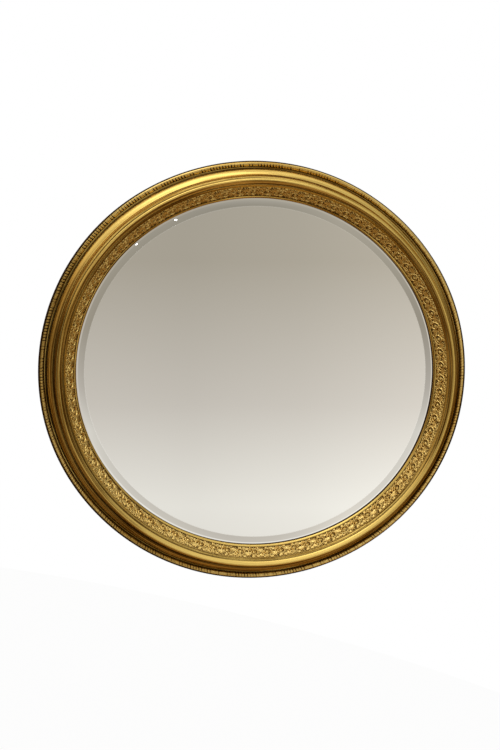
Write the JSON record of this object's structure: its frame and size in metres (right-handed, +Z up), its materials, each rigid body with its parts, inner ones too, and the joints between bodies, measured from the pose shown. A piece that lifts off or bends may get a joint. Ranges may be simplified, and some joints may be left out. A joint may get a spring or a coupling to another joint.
{
  "type": "oval wall mirror",
  "caption": "Oval bevelled wall mirror in a deep gilt reverse moulding with a leaf bead and a foliate frieze, with backboard, turn buttons and ring hangers.",
  "frame": {"origin": "middle of the bounding box: on the oval's axis, halfway between the crest of the moulding and the wall pads", "axes": "+Z up, +X right as seen from the front, -Y towards the viewer, +Y towards the wall"},
  "size_m": [0.7918, 0.052, 0.7618],
  "materials": {
    "gilt_moulding": "water gilding over red clay and gesso, worn and toned dark in the quirks",
    "gilt_bead": "gilded composition ornament, bright on its edges",
    "gilt_frieze": "gilded composition ornament with dark recesses",
    "beech": "bare beech",
    "glass_plate": "polished bevelled plate",
    "silver": "silvering with grey paint behind it",
    "pine": "bare pine",
    "board": "thin plywood, unpolished",
    "zinc_plate": "dull zinc plate",
    "brass_plate": "brass plate",
    "screw_steel": "zinc plated screws",
    "pad_rubber": "soft black pads"
  },
  "bodies": {
    "mirror": {"frame_front_right": "gilt_moulding", "frame_front_top": "gilt_moulding", "frame_front_left": "gilt_moulding", "frame_front_bottom": "gilt_moulding", "frame_back_upper_right": "gilt_moulding", "frame_back_upper_left": "gilt_moulding", "frame_back_lower_left": "gilt_moulding", "frame_back_lower_right": "gilt_moulding", "leaf_bead_right": "gilt_bead", "leaf_bead_top": "gilt_bead", "leaf_bead_left": "gilt_bead", "leaf_bead_bottom": "gilt_bead", "frieze_right": "gilt_frieze", "frieze_top": "gilt_frieze", "frieze_left": "gilt_frieze", "frieze_bottom": "gilt_frieze", "joint_dowels": "beech", "mirror_glass": "glass_plate", "silvering": "silver", "glazing_blocks": "pine", "backboard": "board", "button_screws": "screw_steel", "hanger_strap_left": "brass_plate", "hanger_strap_right": "brass_plate", "hanger_screws": "screw_steel", "wall_pads": "pad_rubber"},
    "turn_button_upper_right": {"turn_button_upper_right": "zinc_plate"},
    "turn_button_upper_left": {"turn_button_upper_left": "zinc_plate"},
    "turn_button_left": {"turn_button_left": "zinc_plate"},
    "turn_button_lower_left": {"turn_button_lower_left": "zinc_plate"},
    "turn_button_lower_right": {"turn_button_lower_right": "zinc_plate"},
    "turn_button_right": {"turn_button_right": "zinc_plate"},
    "hanger_ring_left": {"hanger_ring_left": "brass_plate"},
    "hanger_ring_right": {"hanger_ring_right": "brass_plate"}
  },
  "joints": [
    {"name": "turn_button_upper_right_swivel", "type": "hinge", "parent": "mirror", "child": "turn_button_upper_right", "pos_m": [0.15662, 0.02095, 0.31028], "axis": [0, 1, 0], "continuous": true},
    {"name": "turn_button_upper_left_swivel", "type": "hinge", "parent": "mirror", "child": "turn_button_upper_left", "pos_m": [-0.15662, 0.02095, 0.31028], "axis": [0, 1, 0], "continuous": true},
    {"name": "turn_button_left_swivel", "type": "hinge", "parent": "mirror", "child": "turn_button_left", "pos_m": [-0.33983, 0.02095, -0.11437], "axis": [0, 1, 0], "continuous": true},
    {"name": "turn_button_lower_left_swivel", "type": "hinge", "parent": "mirror", "child": "turn_button_lower_left", "pos_m": [-0.15662, 0.02095, -0.31028], "axis": [0, 1, 0], "continuous": true},
    {"name": "turn_button_lower_right_swivel", "type": "hinge", "parent": "mirror", "child": "turn_button_lower_right", "pos_m": [0.15662, 0.02095, -0.31028], "axis": [0, 1, 0], "continuous": true},
    {"name": "turn_button_right_swivel", "type": "hinge", "parent": "mirror", "child": "turn_button_right", "pos_m": [0.33983, 0.02095, -0.11437], "axis": [0, 1, 0], "continuous": true},
    {"name": "hanger_ring_left_swing", "type": "hinge", "parent": "mirror", "child": "hanger_ring_left", "pos_m": [-0.34492, 0.023, 0.15001], "axis": [-1, 0, 0], "range_deg": [-5, 150]},
    {"name": "hanger_ring_right_swing", "type": "hinge", "parent": "mirror", "child": "hanger_ring_right", "pos_m": [0.34492, 0.023, 0.15001], "axis": [-1, 0, 0], "range_deg": [-5, 150]}
  ]
}
